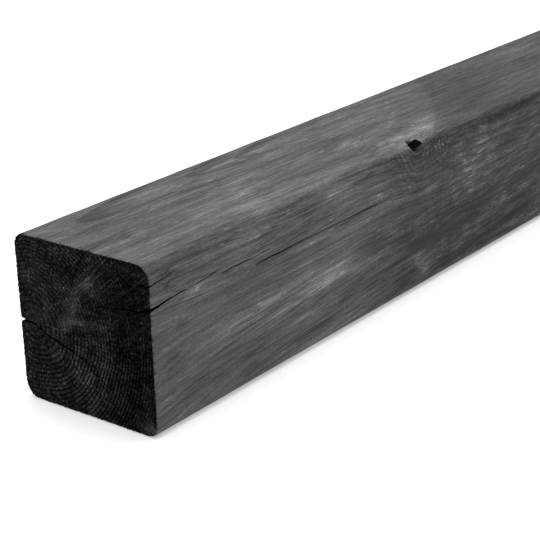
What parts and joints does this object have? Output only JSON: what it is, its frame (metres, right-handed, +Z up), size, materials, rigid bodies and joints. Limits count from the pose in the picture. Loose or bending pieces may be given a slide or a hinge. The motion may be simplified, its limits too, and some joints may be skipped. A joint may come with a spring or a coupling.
{
  "type": "timber post",
  "caption": "Planed square softwood post with rounded arrises and plain sawn ends, checked by drying at one end.",
  "frame": {"origin": "middle of the face that the post lies on, half way along its length", "axes": "+X along the grain, away from the checked end; +Y from the front face to the back face; +Z up"},
  "size_m": [1.8, 0.088, 0.088],
  "materials": {
    "stained_softwood": "dark grey weathered stain, matt"
  },
  "bodies": {
    "root": {"timber_post": "stained_softwood"}
  },
  "joints": []
}
